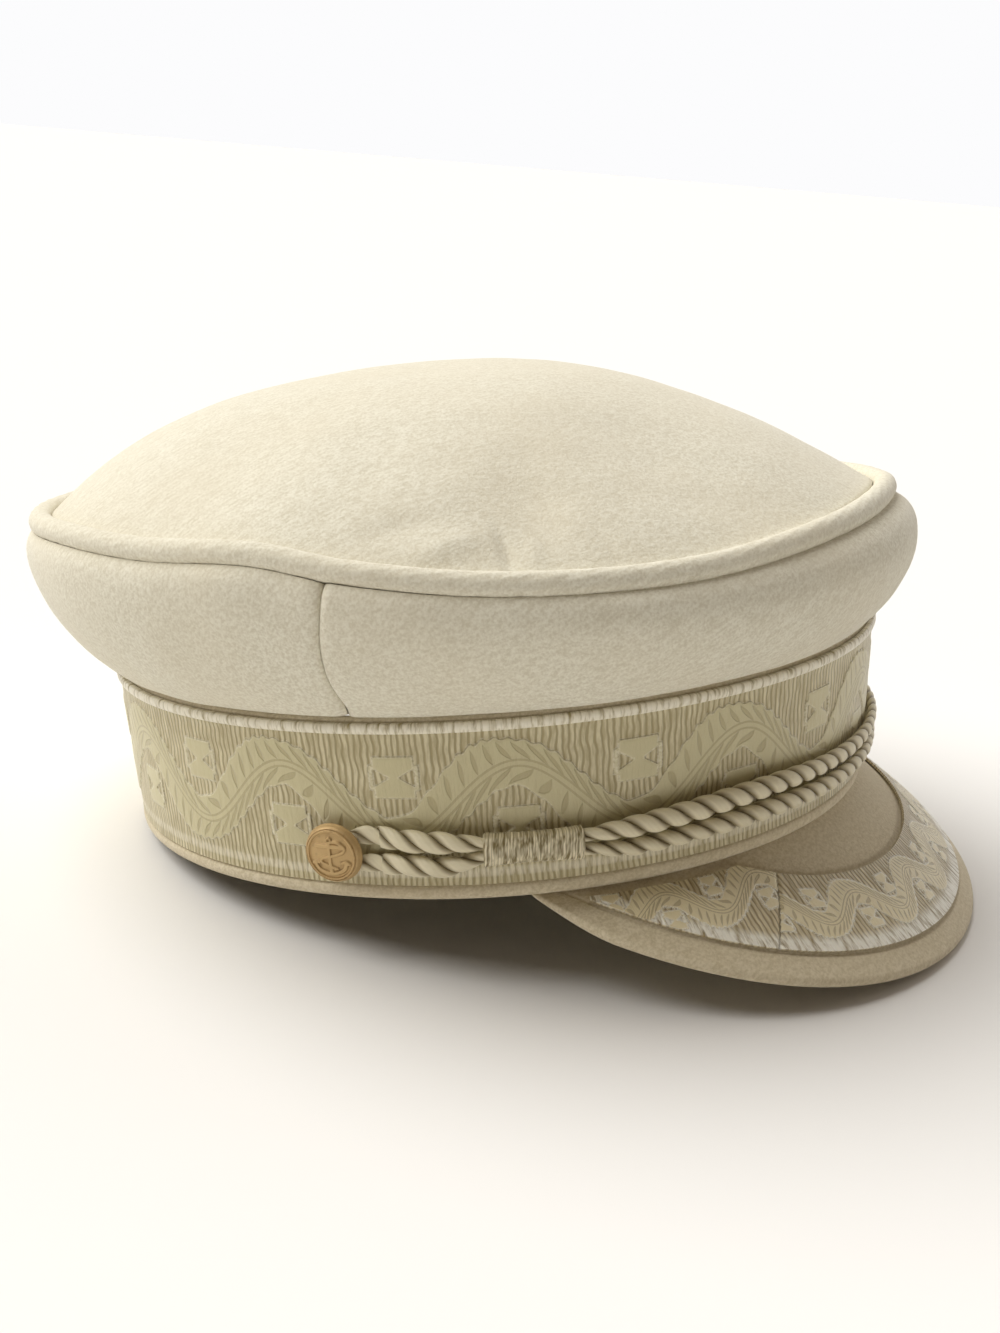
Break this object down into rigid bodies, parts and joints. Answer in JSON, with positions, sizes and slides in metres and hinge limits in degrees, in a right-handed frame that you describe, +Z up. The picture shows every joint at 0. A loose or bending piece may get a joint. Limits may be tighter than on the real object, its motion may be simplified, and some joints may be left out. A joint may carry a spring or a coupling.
{
  "type": "skipper cap",
  "caption": "Soft felt cap with a full round crown, a stiff band under woven braid, a double twisted cord held by cast buttons, and a short braid-trimmed peak.",
  "frame": {"origin": "on the surface that the cap rests on, under the middle of its outer box", "axes": "+Z up, -Y the way the peak points, -X the wearer's right. The cap rests on its peak and on the back of its band, tipped back by 9.4 degrees"},
  "size_m": [0.2152, 0.2584, 0.1269],
  "materials": {
    "felt": "cream wool felt with a short matted nap",
    "braid": "cream woven braid with a satin thread and a raised vine pattern",
    "cord": "cream twisted cord of silky yarn",
    "thread": "cream satin thread, wound",
    "button_metal": "matte antique gold, cast"
  },
  "bodies": {
    "root": {"crown_top": "felt", "front_side_panel": "felt", "rear_side_panel": "felt", "piping": "felt", "head_band": "felt", "peak": "felt", "band_braid": "braid", "peak_braid": "braid", "cord_upper": "cord", "cord_lower": "cord", "keeper_right": "thread", "keeper_left": "thread", "button_right": "button_metal", "button_left": "button_metal"}
  },
  "joints": []
}
